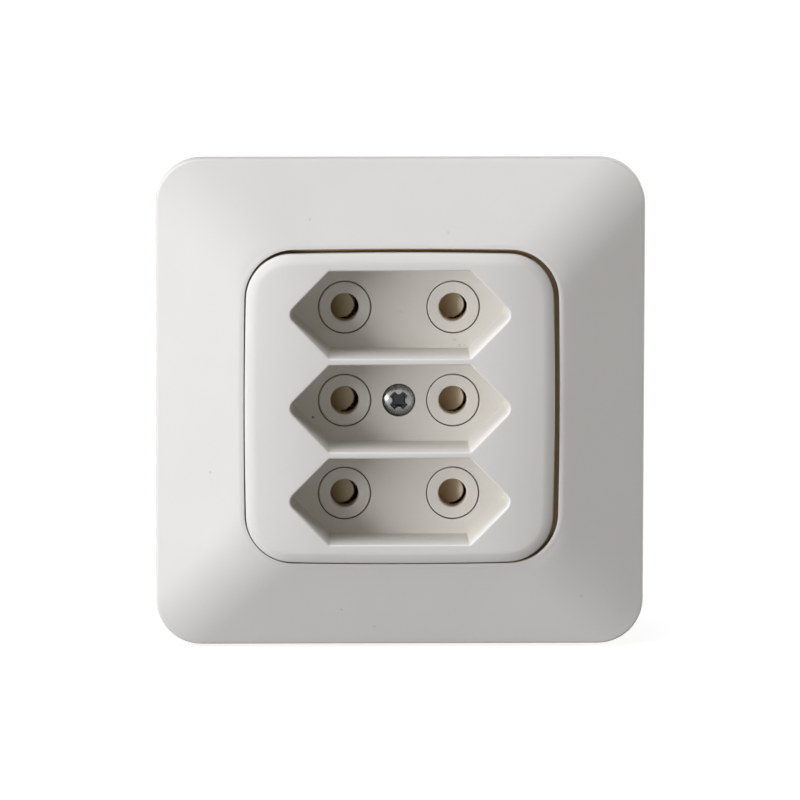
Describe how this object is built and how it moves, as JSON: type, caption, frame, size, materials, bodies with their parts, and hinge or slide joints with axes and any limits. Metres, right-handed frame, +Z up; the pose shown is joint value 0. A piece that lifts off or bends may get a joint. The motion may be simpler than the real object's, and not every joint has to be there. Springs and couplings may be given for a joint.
{
  "type": "recessed wall socket",
  "caption": "Flush-mount wall socket: square sloping frame, rounded centre plate with hexagonal plug recesses, sprung pin-hole shutters, moulded base, steel mounting ring and spreading claws.",
  "frame": {"origin": "centre of the wall plane, midway between the box-screw slots of the support ring", "axes": "+X to the right seen from the front, -Y out of the wall towards the room, +Z up"},
  "size_m": [0.086, 0.0355, 0.086],
  "materials": {
    "white_plastic": "satin white moulding",
    "shutter_plastic": "pale moulding",
    "base_plastic": "pale grey moulding",
    "zinc_steel": "bright zinc plating",
    "spring_steel": "bare spring strip",
    "contact_brass": "bare brass"
  },
  "bodies": {
    "socket": {"cover_frame": "white_plastic", "centre_plate": "white_plastic", "contact_cover": "white_plastic", "socket_base": "base_plastic", "centre_screw": "zinc_steel", "centre_nut": "zinc_steel", "support_ring": "zinc_steel", "ring_rivets": "zinc_steel", "claw_screws": "zinc_steel", "terminal_screws": "zinc_steel", "shutter_spring_top": "spring_steel", "shutter_spring_middle": "spring_steel", "shutter_spring_bottom": "spring_steel", "contact_rail_left": "contact_brass", "contact_rail_right": "contact_brass", "terminal_block_left": "contact_brass", "terminal_block_right": "contact_brass"},
    "shutter_top_body": {"shutter_top": "shutter_plastic"},
    "shutter_middle_body": {"shutter_middle": "shutter_plastic"},
    "shutter_bottom_body": {"shutter_bottom": "shutter_plastic"},
    "claw_left_body": {"claw_left": "zinc_steel"},
    "claw_right_body": {"claw_right": "zinc_steel"}
  },
  "joints": [
    {"name": "shutter_top_slide", "type": "slide", "parent": "socket", "child": "shutter_top_body", "axis": [1, 0, 0], "range_m": [0, 0.0054], "stiffness_N_per_m": 120, "springref_m": -0.002, "deforming": ["shutter_spring_top"]},
    {"name": "shutter_middle_slide", "type": "slide", "parent": "socket", "child": "shutter_middle_body", "axis": [1, 0, 0], "range_m": [0, 0.0054], "stiffness_N_per_m": 120, "springref_m": -0.002, "deforming": ["shutter_spring_middle"]},
    {"name": "shutter_bottom_slide", "type": "slide", "parent": "socket", "child": "shutter_bottom_body", "axis": [1, 0, 0], "range_m": [0, 0.0054], "stiffness_N_per_m": 120, "springref_m": -0.002, "deforming": ["shutter_spring_bottom"]},
    {"name": "claw_left_spread", "type": "hinge", "parent": "socket", "child": "claw_left_body", "pos_m": [-0.0204, 0.0081, 0], "axis": [0, 0, 1], "range_deg": [0, 20]},
    {"name": "claw_right_spread", "type": "hinge", "parent": "socket", "child": "claw_right_body", "pos_m": [0.0204, 0.0081, 0], "axis": [0, 0, -1], "range_deg": [0, 20]}
  ]
}
